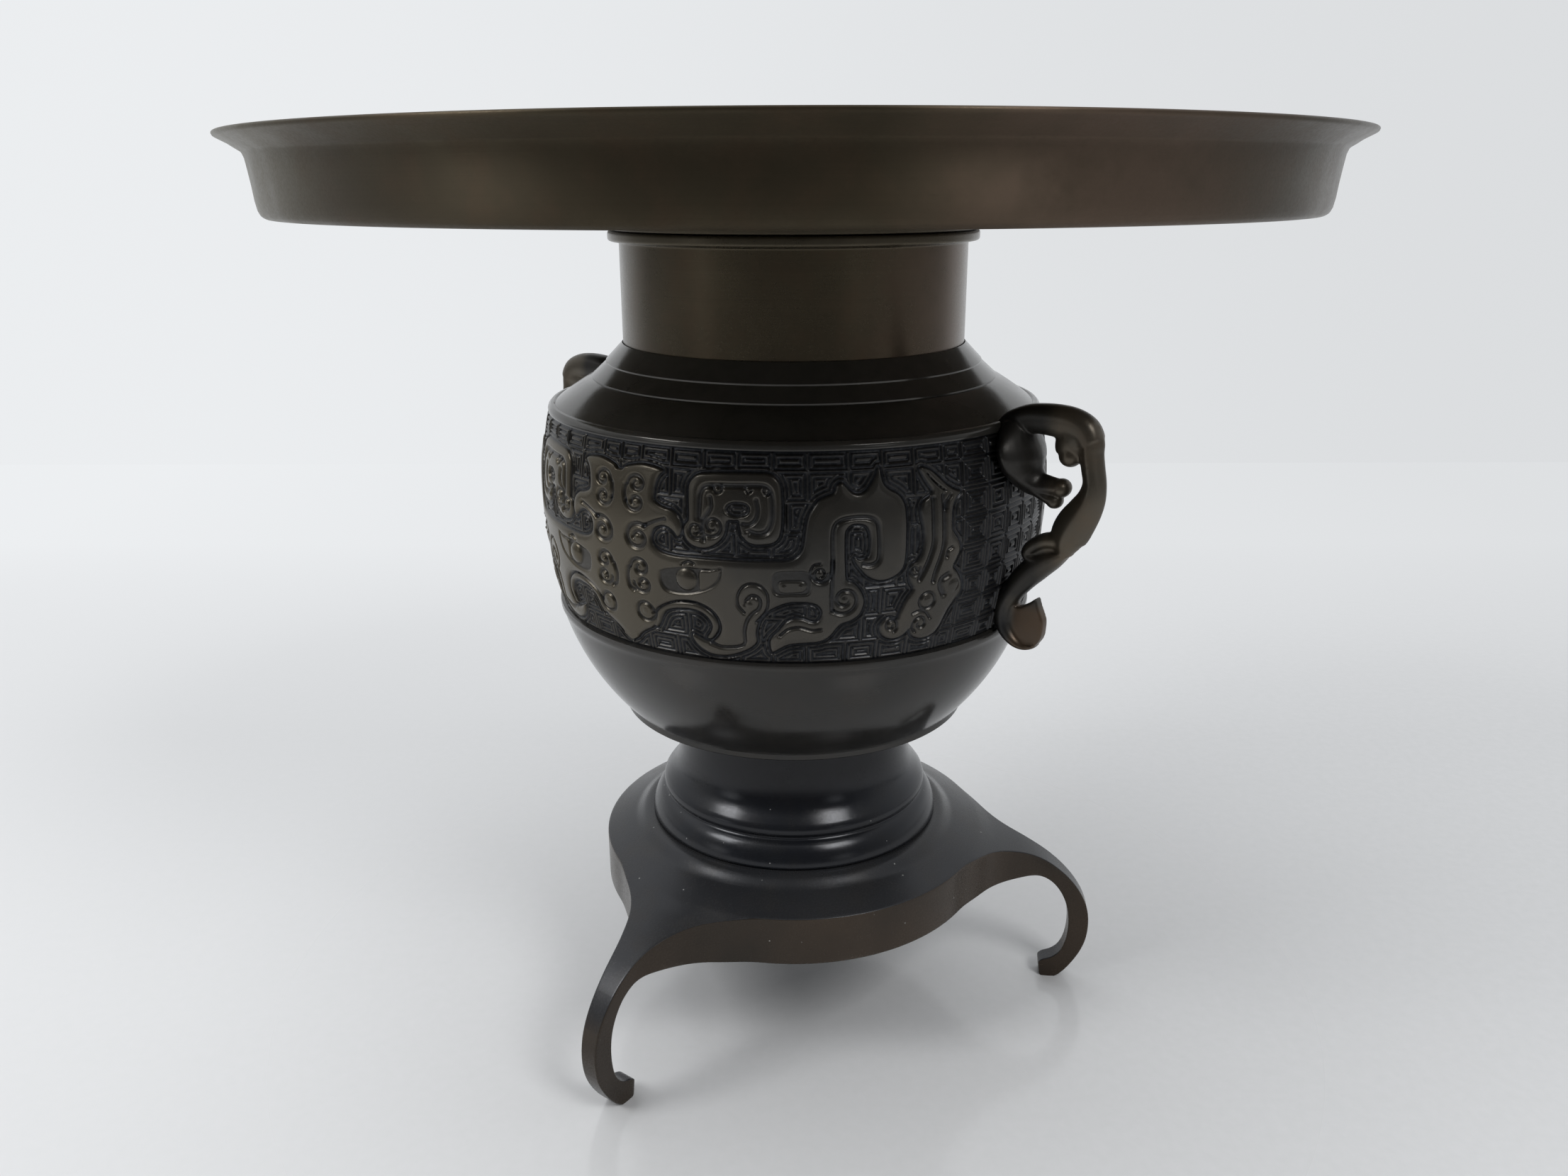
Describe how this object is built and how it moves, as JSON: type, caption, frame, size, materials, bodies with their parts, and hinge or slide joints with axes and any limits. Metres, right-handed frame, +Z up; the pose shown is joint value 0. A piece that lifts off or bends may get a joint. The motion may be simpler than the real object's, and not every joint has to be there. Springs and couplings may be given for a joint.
{
  "type": "usubata flower vase",
  "caption": "Wide shallow dish on a turned neck and an urn body with a relief band and scroll handles, on a pedestal and a stand with curled legs, for arranging flowers.",
  "frame": {"origin": "on the ground under the centre of the vase, on its turning axis", "axes": "+Z up the turning axis towards the dish's rim; the front as pictured faces -Y"},
  "size_m": [0.303, 0.303, 0.2712],
  "materials": {
    "dish": "satin brown bronze patina with fine turning lines",
    "neck": "satin brown bronze patina with fine turning lines",
    "body": "near-black bronze patina, grey-brown where the relief is worn",
    "handle_right": "dull brown-black bronze patina",
    "handle_left": "dull brown-black bronze patina",
    "pedestal": "glossy blue-black bronze patina",
    "tripod_stand": "blue-black bronze patina above, brown on the sides"
  },
  "bodies": {
    "root": {"dish": "dish", "neck": "neck", "body": "body", "handle_right": "handle_right", "handle_left": "handle_left", "pedestal": "pedestal", "tripod_stand": "tripod_stand"}
  },
  "joints": []
}
